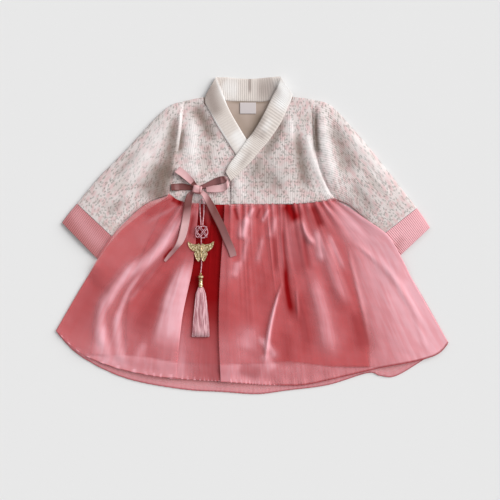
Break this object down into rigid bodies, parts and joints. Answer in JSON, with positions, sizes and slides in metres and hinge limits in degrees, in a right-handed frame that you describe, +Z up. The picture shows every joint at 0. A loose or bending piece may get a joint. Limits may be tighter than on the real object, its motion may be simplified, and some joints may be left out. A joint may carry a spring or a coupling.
{
  "type": "korean hanbok",
  "caption": "Baby's korean hanbok dress laid flat: ribbed flower jacquard top, coral organza skirt, ribbon tie and tassel pendant.",
  "frame": {"origin": "middle of the box of the laid dress, on the surface that it lies on", "axes": "+X towards the dress's left sleeve (right in the picture), +Y towards the collar, +Z up from the surface"},
  "size_m": [0.551, 0.4452, 0.0142],
  "materials": {
    "plain_jersey": "cream cotton jersey, matt",
    "jacquard": "ivory ribbed knit with small blush and grey-green flowers, matt",
    "cuff_rib": "dusty pink rib knit, matt",
    "collar_rib": "cream rib knit, matt",
    "woven_tag": "bare woven tag, matt",
    "organza": "sheer coral pink organza, lustrous",
    "lining": "coral pink lining cloth, low sheen",
    "ribbon": "dusty rose satin ribbon, lustrous",
    "silk_cord": "mauve pink silk cord, low sheen",
    "gilt_metal": "pale gilt, satin",
    "tassel_silk": "pale pink rayon thread, lustrous"
  },
  "bodies": {
    "root": {"bodice_back": "plain_jersey", "front_under": "jacquard", "front_over": "jacquard", "sleeve_left": "jacquard", "sleeve_right": "jacquard", "cuff_left": "cuff_rib", "cuff_right": "cuff_rib", "collar_back": "collar_rib", "collar_under": "collar_rib", "collar_over": "collar_rib", "neck_tag": "woven_tag", "skirt_back": "organza", "skirt_front": "organza", "skirt_lining": "lining", "tie_anchor": "ribbon", "tie_loop_left": "ribbon", "tie_loop_right": "ribbon", "tie_knot": "ribbon", "tie_tail_left": "ribbon", "tie_tail_right": "ribbon", "norigae_loop": "silk_cord", "norigae_maedeup": "silk_cord", "norigae_drop": "silk_cord", "norigae_butterfly": "gilt_metal", "norigae_bead": "gilt_metal", "norigae_ring": "gilt_metal", "norigae_cap": "gilt_metal", "norigae_tassel": "tassel_silk"}
  },
  "joints": []
}
